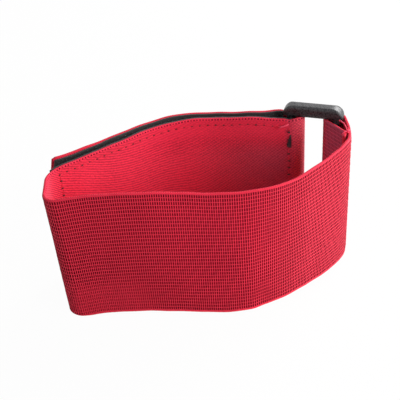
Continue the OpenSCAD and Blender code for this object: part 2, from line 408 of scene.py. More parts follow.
def new_mesh(name, points, faces):
    mesh = bpy.data.meshes.new(name)
    mesh.from_pydata(points, [], faces)
    mesh.update()
    mesh.shade_smooth()
    return linked(name, mesh)


def zipper(one, two, z):
    """Triangles between two chains of points that share their first and last point."""
    made = []
    i = 0
    j = 0
    while i < len(one) - 1 or j < len(two) - 1:
        first = j == len(two) - 1 or (i < len(one) - 1 and z[one[i + 1]] <= z[two[j + 1]])
        corner = one[i + 1] if first else two[j + 1]
        face = (one[i], corner, two[j])
        if len(set(face)) == 3:
            made.append(face)
        i += first
        j += not first
    return made


def row_of(z):
    """Count of the weave's rows up to a height."""
    return (z - Z0) / ROW + ROW_PHASE


def taper(z, low, high, soft):
    """Share of the full thickness that is left towards the two edges."""
    t = np.clip(np.minimum(z - low, high - z) / soft, 0, 1)
    return EDGE_THIN + (1 - EDGE_THIN) * np.sqrt(1 - (1 - t) ** 2)


def heights(low, high, soft, inner):
    """Samples across a width: close together at the edges, the given ones between."""
    first = [low + soft * t for t in EDGE_SHARES]
    last = [high - soft * t for t in reversed(EDGE_SHARES)]
    return np.array([*first, *[z for z in inner if low + soft <= z <= high - soft], *last])


def level(d, z):
    """No shift in height beyond that of the cloth itself."""
    return 0 * d * z


def ribbon(name, ds, left_z, right_z, left_off, right_off, low, high, soft, materials, drop=level):
    """A woven layer along the elastic's path: two faces with their own heights, and round edges.

    left_off and right_off give each face's offset to the left of the path, for distances and heights.
    """
    places = [walk(elastic, d) for d in ds]
    centre = np.array([p for p, _ in places])
    normal = np.array([left_of(a) for _, a in places])
    column = ds[:, None]
    lz = np.asarray(left_z)[None]
    rz = np.asarray(right_z)[None]
    left = left_off(column, lz)
    right = right_off(column, rz)
    middle = (left.mean() + right.mean()) / 2
    left = middle + (left - middle) * taper(lz, low, high, soft)
    right = middle + (right - middle) * taper(rz, low, high, soft)
    middle_top = (left[:, -1:] + right[:, -1:]) / 2
    middle_low = (left[:, :1] + right[:, :1]) / 2
    rim = soft * 0.01

    def edge(face, middle):
        return middle + (face - middle) * 0.7

    offs = np.concatenate(
        [
            left,
            edge(left[:, -1:], middle_top),
            middle_top,
            edge(right[:, -1:], middle_top),
            right[:, ::-1],
            edge(right[:, :1], middle_low),
            middle_low,
            edge(left[:, :1], middle_low),
        ],
        axis=1,
    )
    top = [high - rim, high, high - rim]
    bottom = [low + rim, low, low + rim]
    z = np.concatenate([left_z, top, right_z[::-1], bottom])
    zz = np.broadcast_to(z[None], offs.shape)
    dx, dy = lean(column, zz, (normal[:, :1], normal[:, 1:]))
    out = offs + wobble(column, zz)
    points = np.stack(
        [
            centre[:, :1] + out * normal[:, :1] + dx,
            centre[:, 1:] + out * normal[:, 1:] + dy,
            zz + rim_shift(column, zz) - drop(column, zz),
        ],
        axis=2,
    )
    nu, around = offs.shape
    index = np.arange(nu * around).reshape(nu, around)
    here = index[:-1]
    there = index[1:]
    quads = np.stack([here, there, np.roll(there, -1, 1), np.roll(here, -1, 1)], axis=2).reshape(-1, 4)
    n_left = len(left_z)
    n_right = len(right_z)
    kind = np.full(around, 2)
    kind[: n_left - 1] = 0
    kind[n_left + 3 : n_left + 3 + n_right - 1] = 1
    kinds = list(np.tile(kind, nu - 1))
    faces = quads.tolist()
    low_mid = around - 2
    chain_left = [low_mid, around - 1, *range(n_left), n_left, n_left + 1]
    up_right = range(n_left + 2 + n_right, n_left + 2, -1)
    chain_right = [low_mid, low_mid - 1, *up_right, n_left + 2, n_left + 1]
    for base, flip in ((0, False), ((nu - 1) * around, True)):
        for face in zipper(chain_left, chain_right, z):
            made = [base + k for k in face]
            faces.append(made[::-1] if flip else made)
            kinds.append(2)
    obj = new_mesh(name, (points.reshape(-1, 3) * MM).tolist(), faces)
    mesh = obj.data
    for material in materials:
        mesh.materials.append(material)
    mesh.polygons.foreach_set("material_index", np.array(kinds, dtype=np.int32))
    corners = np.zeros(len(mesh.loops), dtype=np.int32)
    mesh.loops.foreach_get("vertex_index", corners)
    weave = np.stack([np.repeat(ds / COLUMN, around), np.tile(row_of(z), nu)], axis=1)
    mesh.uv_layers.new(name="weave").data.foreach_set("uv", weave[corners].ravel().astype(np.float32))
    return obj


def tube(points, radii, sides=6):
    """Points and faces of a closed round thread along a line of points."""
    pts = [Vector(p) for p in points]
    rings = []
    up = None
    for i, p in enumerate(pts):
        ahead = (pts[min(i + 1, len(pts) - 1)] - pts[max(i - 1, 0)]).normalized()
        if up is None:
            up = ahead.orthogonal().normalized()
        up = (up - ahead * up.dot(ahead)).normalized()
        across = ahead.cross(up)
        radius = float(radii[i])
        for k in range(sides):
            a = 2 * math.pi * k / sides
            rings.append(p + radius * (math.cos(a) * up + math.sin(a) * across))
    faces = []
    for i in range(len(pts) - 1):
        for k in range(sides):
            n = (k + 1) % sides
            faces.append([i * sides + k, i * sides + n, (i + 1) * sides + n, (i + 1) * sides + k])
    last = (len(pts) - 1) * sides
    faces.append(list(range(sides))[::-1])
    faces.append([last + k for k in range(sides)])
    return rings, faces


def belongs(piece, node, body):
    """What a piece stands for, which is hidden, and the body it moves with."""
    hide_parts(node)
    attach(piece, body)


def joined(name, parts, material):
    """One object of many small closed meshes."""
    points = []
    faces = []
    for ring, quads in parts:
        base = len(points)
        points.extend(tuple(p) for p in ring)
        faces.extend([base + k for k in face] for face in quads)
    obj = new_mesh(name, points, faces)
    obj.data.materials.append(material)
    return obj


# Materials

class Nodes:
    """Shorthand for one material's node tree."""

    def __init__(self, name):
        self.material = bpy.data.materials.new(name)
        self.material.use_nodes = True
        self.tree = self.material.node_tree
        self.shader = self.tree.nodes["Principled BSDF"]

    def put(self, socket, value):
        if isinstance(value, bpy.types.NodeSocket):
            self.tree.links.new(value, socket)
        else:
            socket.default_value = value

    def set(self, **values):
        for name, value in values.items():
            self.put(self.shader.inputs[name.replace("_", " ")], value)

    def math(self, operation, a, b=0.0, c=0.0, clamp=False):
        node = self.tree.nodes.new("ShaderNodeMath")
        node.operation = operation
        node.use_clamp = clamp
        for socket, value in zip(node.inputs, (a, b, c)):
            self.put(socket, value)
        return node.outputs[0]

    def times(self, a, b, clamp=False):
        return self.math("MULTIPLY", a, b, clamp=clamp)

    def ramp(self, value, low, high, to_low=0.0, to_high=1.0):
        node = self.tree.nodes.new("ShaderNodeMapRange")
        node.interpolation_type = "SMOOTHSTEP"
        given = {"Value": value, "From Min": low, "From Max": high, "To Min": to_low, "To Max": to_high}
        for name, amount in given.items():
            self.put(node.inputs[name], amount)
        return node.outputs[0]

    def mix(self, factor, a, b):
        node = self.tree.nodes.new("ShaderNodeMix")
        node.data_type = "RGBA"
        self.put(node.inputs["Factor"], factor)
        self.put(node.inputs[6], a)
        self.put(node.inputs[7], b)
        return node.outputs[2]

    def uv(self):
        node = self.tree.nodes.new("ShaderNodeUVMap")
        node.uv_map = "weave"
        split = self.tree.nodes.new("ShaderNodeSeparateXYZ")
        self.put(split.inputs[0], node.outputs[0])
        return split.outputs[0], split.outputs[1]

    def stretched(self, u, v, along, across):
        """Place on the weave, scaled along and across it."""
        node = self.tree.nodes.new("ShaderNodeCombineXYZ")
        self.put(node.inputs[0], self.times(u, along))
        self.put(node.inputs[1], self.times(v, across))
        return node.outputs[0]

    def place(self):
        node = self.tree.nodes.new("ShaderNodeTexCoord")
        return node.outputs["Object"]

    def noise(self, vector, scale, detail=3.0, roughness=0.55):
        node = self.tree.nodes.new("ShaderNodeTexNoise")
        self.put(node.inputs["Vector"], vector)
        node.inputs["Scale"].default_value = scale
        node.inputs["Detail"].default_value = detail
        node.inputs["Roughness"].default_value = roughness
        return node.outputs["Fac"]

    def wave(self, turns):
        """Cosine of a number of turns, from -1 to 1."""
        return self.math("COSINE", self.times(turns, 2 * math.pi))

    def bump(self, height, strength, distance, soften=0.0):
        """Relief of the surface, with its sharp edges softened where asked."""
        node = self.tree.nodes.new("ShaderNodeBump")
        node.inputs["Strength"].default_value = strength
        node.inputs["Distance"].default_value = distance
        self.put(node.inputs["Height"], height)
        if soften:
            rounded = self.tree.nodes.new("ShaderNodeBevel")
            rounded.samples = 8
            rounded.inputs["Radius"].default_value = soften
            self.put(node.inputs["Normal"], rounded.outputs[0])
        self.put(self.shader.inputs["Normal"], node.outputs[0])
        return self


RED_BAR = (0.97, 0.03, 0.072, 1)
RED_STRIP = (0.84, 0.0245, 0.061, 1)
# Brighter, pinker red of the right bow: painted light where the bow faces the lamps
RED_BOW_LIT = (1.0, 0.056, 0.105, 1)
# Duller red: painted shade from the front's left part on, and random duller patches
RED_WORN_AND_SHADE = (0.5, 0.0125, 0.034, 1)
# Near-black of the weave's slots: painted shade in the gaps between the bars
RED_SLOT_SHADE = (0.004, 0.0003, 0.0008, 1)
RED_SMOOTH = (0.97, 0.038, 0.092, 1)
# Darker red of the inner face: painted shade in the twill's grooves and gaps, and random flecks
RED_SMOOTH_DEEP = (0.46, 0.017, 0.042, 1)
# Paler, pinker red of the flap: painted light, for the whitish light that reaches it in the shade
RED_FLAP_PALE_LIGHT = (0.76, 0.145, 0.26, 1)
# Duller, paler red of the inner face's right part, light and deep: painted shade
RED_PALE_SHADE = (0.8, 0.056, 0.112, 1)
RED_PALE_SHADE_DEEP = (0.34, 0.022, 0.048, 1)
# Duller red low down at the right: painted shade where the bow shades the panel
RED_FAR_SHADE = (0.62, 0.085, 0.155, 1)
# Bright red of the turn round the left bar: painted highlight where the turn catches the light
RED_BENT_LIT = (1.0, 0.09, 0.135, 1)
# Near-black of the pits between the selvedge beads: painted shade
RED_PIT_SHADE = (0.03, 0.001, 0.004, 1)
RED_EDGE = (0.95, 0.055, 0.1, 1)
# Darker red of the selvedge: painted shade between the beads, and random tone
RED_EDGE_DEEP = (0.42, 0.01, 0.028, 1)
PINK_SHEEN = (1.0, 0.6, 0.64, 1)
# Share of painted shade from the front's left part on
PAINTED_SHADE_SHARE = 0.19
BLOOM = 0.18


def cloth(nodes, bloom):
    """Surface that all faces of the elastic share: matt, with a thin bloom of fibres."""
    nodes.set(Roughness=0.85, Specular_IOR_Level=bloom, Sheen_Weight=bloom)
    nodes.set(Sheen_Roughness=0.5, Sheen_Tint=PINK_SHEEN)


def ribbed_red():
    """Outer face: bright weft bars in rows, with slots between them painted near-black as painted
    shade, and plain selvedges.
    """
    n = Nodes("elastic_ribbed")
    u, v = n.uv()
    bars = n.wave(u)
    rows = n.wave(v)
    field = n.times(n.ramp(v, 0.85, 1.05), n.ramp(v, ROWS + 0.05, ROWS - 0.1))
    slot = n.times(n.ramp(bars, 0.58, 0.25), n.ramp(rows, 0.92, 0.6))
    slot = n.times(slot, field)
    strip = n.ramp(rows, 0.1, 0.9)
    cell = n.noise(n.stretched(u, v, 0.9, 1.1), 1.0, 2.0)
    patch = n.noise(n.place(), 60.0, 2.0)
    filaments = n.noise(n.stretched(u, v, 9.0, 1.0), 1.0, 2.0)
    shade = n.math("MULTIPLY_ADD", cell, 1.0, n.math("MULTIPLY_ADD", filaments, 0.5, -0.8))
    bar = n.mix(n.math("ADD", strip, shade, clamp=True), RED_BAR, RED_STRIP)
    d = n.times(u, COLUMN)
    # Painted light: the right bow brighter and pinker, where it faces the lamps
    bow = n.ramp(d, PANEL_AT + 62, PANEL_AT + 34, 0.0, 0.6)
    bar = n.mix(bow, bar, RED_BOW_LIT)
    # Painted shade: the red duller from the front's left part on, and more so towards the lower edge;
    # random duller patches besides
    wear_and_shade = n.ramp(d, PANEL_AT + 84, PANEL_AT + 108, 0.0, PAINTED_SHADE_SHARE)
    low = n.times(n.ramp(v, 15.0, 5.0), wear_and_shade)
    bar = n.mix(n.math("ADD", wear_and_shade, low), bar, RED_WORN_AND_SHADE)
    bar = n.mix(n.ramp(patch, 0.35, 0.75, 0.0, 0.22), bar, RED_WORN_AND_SHADE)
    # Strength of the painted slot shade: a little less in some cells, low down on the front and on the
    # flap
    depth = n.times(slot, n.ramp(cell, 0.3, 0.65, 1.0, 0.85))
    depth = n.times(depth, n.ramp(low, 0.0, PAINTED_SHADE_SHARE, 1.0, 0.65))
    # Painted light on the flap: paler, pinker red and lighter slots
    flap = n.ramp(d, FLAP_TO + 3, FLAP_TO - 1)
    depth = n.times(depth, n.ramp(flap, 0.0, 1.0, 1.0, 0.45))
    n.set(Base_Color=n.mix(depth, n.mix(flap, bar, RED_FLAP_PALE_LIGHT), RED_SLOT_SHADE))
    cloth(n, n.ramp(depth, 0.0, 0.8, BLOOM, 0.0))
    return n.bump(filaments, 0.15, 0.0001).material


def twill(n, u, way, below, stray):
    """Grooves of the twill, and gaps of the dotted ground that it turns into, as the amount of painted
    shade in them.
    """
    turning = n.math("MINIMUM", n.math("MAXIMUM", way, 0.0), TWILL_TURN)
    past = n.math("MAXIMUM", n.math("SUBTRACT", way, TWILL_TURN), 0.0)
    bend = n.times(n.times(turning, turning), 0.01075)
    before = n.math("MAXIMUM", n.math("MULTIPLY_ADD", way, -1.0, -14.0), 0.0)
    slant = n.math("ADD", n.math("MULTIPLY_ADD", way, -0.46, bend), n.times(past, 1.16))
    slant = n.math("MULTIPLY_ADD", before, 0.37, slant)
    right = n.ramp(way, 18.0, 50.0)
    corner = n.ramp(way, -12.0, -20.0)
    pitch = n.math("MULTIPLY_ADD", corner, 0.07, n.ramp(right, 0.0, 1.0, 1.0, 0.8))
    lines = n.math("MULTIPLY_ADD", below, pitch, slant)
    lines = n.wave(n.math("MULTIPLY_ADD", stray, 0.9, lines))
    cross = n.math("MULTIPLY_ADD", below, -0.93, n.times(way, 0.74))
    cross = n.wave(n.math("MULTIPLY_ADD", stray, 0.9, cross))
    # Painted shade in the grooves: strong at the left and round the corner, where the light grazes the
    # ribs, weak at the right
    strong = n.math("MULTIPLY_ADD", corner, 0.45, n.ramp(right, 0.0, 1.0, 0.62, 0.1))
    groove = n.times(n.ramp(lines, -0.5, 0.8), strong)
    dots = n.math("ADD", n.math("ADD", lines, cross), n.times(n.wave(u), 0.35))
    gap = n.times(n.ramp(dots, -1.3, 1.2), n.ramp(right, 0.0, 1.0, 0.0, 0.46))
    return n.math("ADD", groove, gap)


def bead_pits(n, u, from_edge, stray, fleck):
    """Pits between the beads along both selvedges, painted dark as painted shade."""
    row = n.times(n.ramp(from_edge, 0.05, 0.16), n.ramp(from_edge, 0.52, 0.38))
    beads = n.wave(n.math("MULTIPLY_ADD", stray, 0.35, n.times(u, COLUMN / BEAD)))
    pit = n.times(row, n.ramp(beads, -0.1, 0.45))
    return n.times(pit, n.ramp(fleck, 0.4, 0.6, 0.55, 1.0))


def inner_reds(n, d, v, way, high, before_turn):
    """Light and deep red, with painted shade duller and paler low down at the right, and a painted
    highlight bright round the left bar.
    """
    off_tail = n.ramp(d, HINGE_AT - 4, HINGE_AT, 1.0, 0.0)
    # Painted shade over the right part, weaker near the top, and more of it low down before the turn
    pale = n.times(n.ramp(way, 34.0, 58.0), off_tail)
    pale = n.times(pale, n.ramp(high, 0.0, 1.0, 1.0, 0.25))
    far = n.times(n.ramp(way, 50.0, 74.0, 0.0, 0.8), before_turn)
    far = n.times(far, n.ramp(high, 0.0, 1.0, 1.0, 0.0))
    # Painted highlight on the turn round the left bar, in ribs
    ribs = n.ramp(n.wave(n.times(v, ROW / BENT_RIB)), -0.6, 0.6, 0.45, 1.0)
    bent = n.times(n.ramp(d, TURN_AT - 0.8, TURN_AT + 4.0), ribs)
    light = n.mix(far, n.mix(pale, RED_SMOOTH, RED_PALE_SHADE), RED_FAR_SHADE)
    light = n.mix(n.times(bent, off_tail), light, RED_BENT_LIT)
    return light, n.mix(pale, RED_SMOOTH_DEEP, RED_PALE_SHADE_DEEP)


def smooth_red():
    """Inner face: a fine twill whose lines turn into a dotted ground, with a beaded selvedge; its
    grooves and gaps are painted darker as painted shade.
    """
    n = Nodes("elastic_smooth")
    u, v = n.uv()
    d = n.times(u, COLUMN)
    way = n.math("SUBTRACT", d, TWILL_AT)
    below = n.times(n.math("SUBTRACT", ROWS + ROW_PHASE, v), ROW)
    from_edge = n.math("MINIMUM", n.math("SUBTRACT", v, ROW_PHASE), n.math("DIVIDE", below, ROW))
    stray = n.noise(n.stretched(u, v, 0.35, 1.3), 1.0, 3.0)
    fleck = n.noise(n.stretched(u, v, 1.1, 2.1), 1.0, 2.0)
    relief = twill(n, u, way, below, stray)
    pit = bead_pits(n, u, from_edge, stray, fleck)
    patch = n.ramp(n.noise(n.place(), 45.0, 2.0), 0.35, 0.75, 0.0, 0.18)
    tone = n.math("ADD", relief, n.math("MULTIPLY_ADD", fleck, 1.1, -0.55))
    tone = n.math("MULTIPLY_ADD", tone, n.ramp(from_edge, 0.36, 0.52), patch, clamp=True)
    before_turn = n.ramp(d, SEAM_RIGHT - 3, SEAM_RIGHT + 3, 1.0, 0.0)
    # Painted light and shade by height on the rear panel: a darker band below the rim and lighter red
    # at the rim
    high = n.times(n.ramp(v, 22.0, 32.0), before_turn)
    high = n.times(high, n.ramp(way, 5.0, 35.0))
    rim = n.times(high, n.ramp(v, 26.5, 34.0))
    tone = n.math("MULTIPLY_ADD", n.math("SUBTRACT", high, rim), 0.2, tone)
    tone = n.times(tone, n.ramp(rim, 0.0, 1.0, 1.0, 0.5), clamp=True)
    light, deep = inner_reds(n, d, v, way, high, before_turn)
    n.set(Base_Color=n.mix(pit, n.mix(tone, light, deep), RED_PIT_SHADE))
    cloth(n, n.times(n.ramp(pit, 0.0, 0.8, BLOOM, 0.0), n.ramp(high, 0.0, 1.0, 1.0, 0.4)))
    return n.bump(n.math("SUBTRACT", n.times(fleck, 0.5), relief), 0.45, 0.00012).material


def edge_red():
    """Selvedge: the weft turns round the edge in small beads, painted darker between them as painted
    shade, with a random tone.
    """
    n = Nodes("elastic_edge")
    u, v = n.uv()
    beads = n.ramp(n.wave(u), 0.1, -0.9)
    stray = n.noise(n.stretched(u, v, 2.0, 6.0), 1.0, 3.0)
    dark = n.math("MULTIPLY_ADD", stray, 0.5, n.math("MULTIPLY_ADD", beads, 0.55, -0.18), clamp=True)
    n.set(Base_Color=n.mix(dark, RED_EDGE, RED_EDGE_DEEP))
    cloth(n, 0.04)
    return n.bump(n.math("SUBTRACT", stray, beads), 0.5, 0.00015).material


def black_cloth(name, dark, light, scale, rough):
    """Black tape: matt woven nylon with a dusty scatter of lighter fibres."""
    n = Nodes(name)
    grain = n.noise(n.place(), scale, 4.0, 0.7)
    broad = n.noise(n.place(), scale / 14, 2.0)
    tone = n.math("MULTIPLY_ADD", broad, 0.4, n.ramp(grain, 0.42, 0.7, 0.0, 0.7), clamp=True)
    n.set(Base_Color=n.mix(tone, dark, light), Roughness=rough, Specular_IOR_Level=0.3)
    n.set(Sheen_Weight=0.3, Sheen_Roughness=0.5, Sheen_Tint=(0.7, 0.7, 0.75, 1))
    return n.bump(grain, 0.7, 0.0002).material


def thread(name, dark, light):
    """Twisted sewing thread."""
    n = Nodes(name)
    twist = n.noise(n.place(), 5200.0, 2.0)
    tone = n.ramp(twist, 0.35, 0.65)
    n.set(Base_Color=n.mix(tone, dark, light), Roughness=0.6, Specular_IOR_Level=0.35)
    n.set(Sheen_Weight=0.08, Sheen_Tint=light)
    return n.bump(twist, 0.5, 0.0001).material


def buckle_plastic():
    """Moulded black plastic with a fine spark-eroded texture."""
    n = Nodes("buckle_plastic")
    grain = n.noise(n.place(), 1900.0, 3.0, 0.7)
    broad = n.noise(n.place(), 160.0, 3.0)
    # Broad random tone of the plastic, with no painted shade in it
    wear_and_shade = n.times(broad, 0.25)
    tone = n.math("MULTIPLY_ADD", n.ramp(grain, 0.42, 0.62), 0.85, wear_and_shade, clamp=True)
    n.set(Base_Color=n.mix(tone, (0.014, 0.0135, 0.0155, 1), (0.062, 0.061, 0.066, 1)))
    n.set(Roughness=n.ramp(grain, 0.35, 0.65, 0.25, 0.42), Specular_IOR_Level=0.36)
    return n.bump(grain, 0.4, 0.0002, 0.0018).material


RIBBED = ribbed_red()
SMOOTH = smooth_red()
EDGE = edge_red()
PILE = black_cloth("loop_pile", (0.011, 0.0105, 0.0105, 1), (0.042, 0.04, 0.04, 1), 1500.0, 0.95)
HOOKS = black_cloth("hook_nylon", (0.011, 0.0105, 0.0105, 1), (0.036, 0.034, 0.034, 1), 2200.0, 0.7)
THREAD_RED = thread("thread_red", (0.72, 0.022, 0.055, 1), (0.95, 0.045, 0.095, 1))
THREAD_PINK = thread("thread_pink", (1.0, 0.035, 0.1, 1), (1.0, 0.1, 0.2, 1))
THREAD_WISP = thread("thread_wisp", (1.0, 0.05, 0.12, 1), (1.0, 0.12, 0.21, 1))
# Near-black for the marks at the needle holes: painted shade
HOLE_SHADE_DARK = thread("thread_dark", (0.006, 0.002, 0.003, 1), (0.03, 0.006, 0.009, 1))
THREAD_BLACK = thread("thread_black", (0.008, 0.003, 0.005, 1), (0.05, 0.026, 0.032, 1))
PLASTIC = buckle_plastic()


# Elastic

def rows_of(pitch, shares):
    """Heights of the samples across the width, a few in each row of the weave."""
    count = math.ceil(BAND_W / pitch) + 2
    made = [Z0 - ROW * ROW_PHASE + pitch * (r + t) for r in range(count) for t in shares]
    return heights(Z0, Z1, EDGE_SOFT, made)


def columns_of(d0, d1, shares):
    """Distances of the samples along the length, a few in each column of the weave, with both ends."""
    first = math.floor(d0 / COLUMN)
    last = math.ceil(d1 / COLUMN)
    made = [COLUMN * (c + t) for c in range(first, last + 1) for t in shares]
    return np.array([d0, *[d for d in made if d0 + 0.02 < d < d1 - 0.02], d1])


# Samples within one column, row or rib, as shares of its pitch
BAR_SHARES = (-0.2, 0.2, 0.4, 0.6)
ROW_SHARES = (0.0, 0.2, 0.5, 0.8)
PLAIN_SHARES = (0.0, 0.5)
RIB_SHARES = (0.0, 0.25, 0.5, 0.75)
JITTER = 0.05
JITTER_COLUMNS = 1024
JOIN_FADE = 0.4
jitter = rng.uniform(0.0, JITTER, (JITTER_COLUMNS, ROWS + 2))


def fade(d, ends):
    """Nought at the ends of a piece, where the next one meets it."""
    return np.minimum(step(0.0, JOIN_FADE, d - ends[0]), step(0.0, JOIN_FADE, ends[1] - d))


def ribbed_face(ends):
    """Offset of the outer face: slots between the weft bars and grooves between the rows."""

    def offset(d, z):
        u = d / COLUMN
        v = row_of(z)
        from_bar = np.abs(u - np.round(u))
        across = np.abs(v - np.floor(v) - 0.5)
        inside = step(0.85, 1.05, v) * step(ROWS + 0.05, ROWS - 0.1, v)
        slot = step(0.2, 0.4, from_bar) * (1 - step(0.28, 0.44, across)) * inside
        groove = step(0.28, 0.5, across) * inside
        bar = np.round(u).astype(int) % JITTER_COLUMNS
        uneven = jitter[bar, np.floor(v).astype(int) % (ROWS + 2)]
        sunk = SLOT_DEPTH * slot + GROOVE_DEPTH * groove + uneven * (1 - slot)
        return HALF_T - sunk * fade(d, ends)

    return offset


def crease(d, z):
    """Line pressed into the inner face by the loop tape's seam."""
    within = step(SEAM_LEFT - 1, SEAM_LEFT, d) * step(SEAM_RIGHT + 1, SEAM_RIGHT, d)
    rows = hump(z, Z1 - SEAM_INSET, 0.45) + hump(z, Z0 + SEAM_INSET, 0.45)
    tall = step(Z0 + SEAM_INSET - 1, Z0 + SEAM_INSET, z) * step(Z1 - SEAM_INSET + 1, Z1 - SEAM_INSET, z)
    ends = hump(d, SEAM_LEFT, 0.5) + hump(d, SEAM_RIGHT, 0.5)
    return 0.05 * np.maximum(within * rows, tall * ends)


def smooth_face(ends):
    """Offset of the inner face: fine ribs with a dashed swell, and the crease of the seam."""

    def offset(d, z):
        rib = row_of(z) * ROW / RIB
        grooves = 0.5 + 0.5 * np.cos(2 * math.pi * rib)
        swell = 0.25 * np.cos(2 * math.pi * (d / DASH + 0.5 * np.floor(rib)))
        sunk = FINE_DEPTH * np.clip(grooves - swell, 0, 1.2) * fade(d, ends)
        return -HALF_T + sunk + crease(d, z)

    return offset


def plain(off):
    def offset(d, z):
        return off + 0 * d * z

    return offset


def elastic_piece(name, d0, d1, ribbed, fine, free=(0, 0)):
    """One stretch of the elastic, with finer samples on the faces that are seen."""
    ends = (d0 - free[0], d1 + free[1])
    ds = columns_of(d0, d1, BAR_SHARES if ribbed else PLAIN_SHARES)
    left_z = rows_of(ROW, ROW_SHARES if ribbed else (0.0,))
    right_z = rows_of(RIB, RIB_SHARES if fine else PLAIN_SHARES)
    faces = (ribbed_face(ends) if ribbed else plain(HALF_T), smooth_face(ends))
    obj = ribbon(name, ds, left_z, right_z, *faces, Z0, Z1, EDGE_SOFT, [RIBBED, SMOOTH, EDGE])
    return obj


def whole_column(d):
    """Nearest whole column of the weave."""
    return COLUMN * round(d / COLUMN)


# Ends of the stretches
BOW_AT = whole_column(PANEL_AT + 22)
FRONT_AT = whole_column(PANEL_AT + 70)
CORNER_AT = whole_column(PANEL_AT + 118)
FOLD_FROM = HINGE_AT - 9.0
FOLD_TO = HINGE_AT + HOOK_START
# The fold's bend, before and after the hinge
anchor_piece = elastic_piece("elastic_anchor", 0.0, BOW_AT, True, False, (1, 0))
bow_piece = elastic_piece("elastic_bow", BOW_AT, FRONT_AT, True, False)
front_piece = elastic_piece("elastic_front", FRONT_AT, CORNER_AT, True, False)
corner_piece = elastic_piece("elastic_corner", CORNER_AT, SEAM_LEFT, True, True)
rear_piece = elastic_piece("elastic_rear", SEAM_LEFT, FOLD_FROM, False, True)
fold_piece = elastic_piece("elastic_fold", FOLD_FROM, FOLD_TO, False, True)
tail_piece = elastic_piece("elastic_tail", FOLD_TO, TIP_AT, False, True, (0, 1))
for piece in (anchor_piece, bow_piece, front_piece, corner_piece, rear_piece):
    belongs(piece, "elastic_band", "band")
belongs(tail_piece, "tail_flap", "tail")
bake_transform(fold_piece)
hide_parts("tail_flap")


# Hook and loop tapes

def fuzzy(off, depth, seed):
    """A tape's rough face: waves of several sizes with fixed phases."""
    phases = np.random.default_rng(seed).uniform(0, 6.3, 6)

    def offset(d, z):
        a = np.sin(d * 4.1 + phases[0] + 1.3 * np.sin(z * 1.7 + phases[1]))
        b = np.sin(z * 4.6 + phases[2] + 1.1 * np.sin(d * 2.3 + phases[3]))
        c = np.sin(d * 9.7 + z * 7.9 + phases[4])
        return off + depth * (0.4 * a * b + 0.35 * c)

    return offset


def hook_dip(d, z):
    """Upper edge of the hook tape, which was sewn on a little lower towards the tip."""
    dip = HOOK_DIP * step(*HOOK_DIP_AT, d) - HOOK_RISE
    return dip * step(Z1 - HOOK_DIP_DEEP, Z1, z)


TAPE_NEAR = HALF_T + SURFACE_GAP
TAPE_STEP = 0.4
ROUGH_SAMPLES = 130
HIDDEN_SAMPLES = 12


def tape(name, d0, d1, foot, depth, seed, material, drop=level):
    """A tape on the elastic's left face, its rough side away from the elastic."""
    ds = np.arange(d0, d1 + TAPE_STEP / 2, TAPE_STEP)
    low = Z0 + TAPE_INSET
    high = Z1 - TAPE_INSET
    zs = heights(low, high, TAPE_SOFT, np.linspace(low, high, ROUGH_SAMPLES))
    plain_z = heights(low, high, TAPE_SOFT, np.linspace(low, high, HIDDEN_SAMPLES))
    faces = (fuzzy(foot, depth, seed), plain(TAPE_NEAR))
    return ribbon(name, ds, zs, plain_z, *faces, low, high, TAPE_SOFT, [material] * 3, drop)


# Pile and hooks: height, thread radius and depth of the root
PILE_H = 0.5
PILE_R = 0.05
PILE_ROOT = 0.15
PILE_PITCH = 1.2
HOOK_H = 0.6
HOOK_R = 0.075
HOOK_ROOT = 0.1
CROOK_R = 0.17
PILE_FOOT = TAPE_NEAR + LOOP_T - PILE_H
HOOK_FOOT = TAPE_NEAR + HOOK_T - HOOK_H
TAPE_BARE = 0.7
TAPE_BARE_TOP = 0.6
loop_cloth = tape("loop_tape_cloth", LOOP_FROM, LOOP_TO, PILE_FOOT, 0.12, 3, PILE)
hook_cloth = tape("hook_tape_cloth", HOOK_FROM, HOOK_TO, HOOK_FOOT, 0.05, 5, HOOKS, hook_dip)


def pile_loop(d, z):
    """One loop of the pile, leaning at random."""
    wide = rng.uniform(0.35, 0.7)
    angle = rng.uniform(0, math.pi)
    tall = PILE_H * rng.uniform(0.55, 0.98)
    foot = PILE_FOOT - PILE_ROOT
    line = []
    for t in np.linspace(-1, 1, 7):
        rise = (tall + PILE_ROOT) * (1 - t * t) ** 0.5
        line.append(spot(d + t * wide * math.cos(angle), z + t * wide * math.sin(angle), foot + rise))
    return tube(line, [PILE_R * MM] * len(line), 3)


def hook(d, z):
    """One hook of the hook tape: a stem and a crook along the length."""
    foot = HOOK_FOOT - HOOK_ROOT
    way = 1 if rng.uniform() < 0.5 else -1
    head = foot + HOOK_H - CROOK_R
    line = [spot(d, z, foot), spot(d, z, head)]
    for a in np.radians((50, 100, 160, 210)):
        reach = way * CROOK_R * (1 - math.cos(a))
        line.append(spot(d + reach, z, head + CROOK_R * math.sin(a) * 0.9))
    return tube(line, [HOOK_R * MM] * len(line), 4)


def scatter(maker, d0, d1, pitch_d, pitch_z, stray):
    """Small pieces over a tape, in rows that stray a little."""
    parts = []
    top = Z1 - TAPE_INSET - TAPE_BARE_TOP
    zs = np.arange(Z0 + TAPE_INSET + TAPE_BARE, Z1 - TAPE_INSET, pitch_z)
    for i, d in enumerate(np.arange(d0 + TAPE_BARE, d1 - TAPE_BARE, pitch_d)):
        for z in zs + (i % 2) * pitch_z / 2:
            if z < top:
                parts.append(maker(d + rng.uniform(-stray, stray), z + rng.uniform(-stray, stray)))
    return parts


loops = scatter(pile_loop, LOOP_FROM, LOOP_TO, PILE_PITCH, PILE_PITCH, 0.4)
loop_pile = joined("loop_tape_pile", loops, PILE)
hooks = joined("hook_tape_hooks", scatter(hook, HOOK_FROM, HOOK_TO, 1.5, 1.3, 0.1), HOOKS)
for piece in (loop_cloth, loop_pile):
    belongs(piece, "loop_tape", "band")
for piece in (hook_cloth, hooks):
    belongs(piece, "hook_tape", "tail")


# Seams

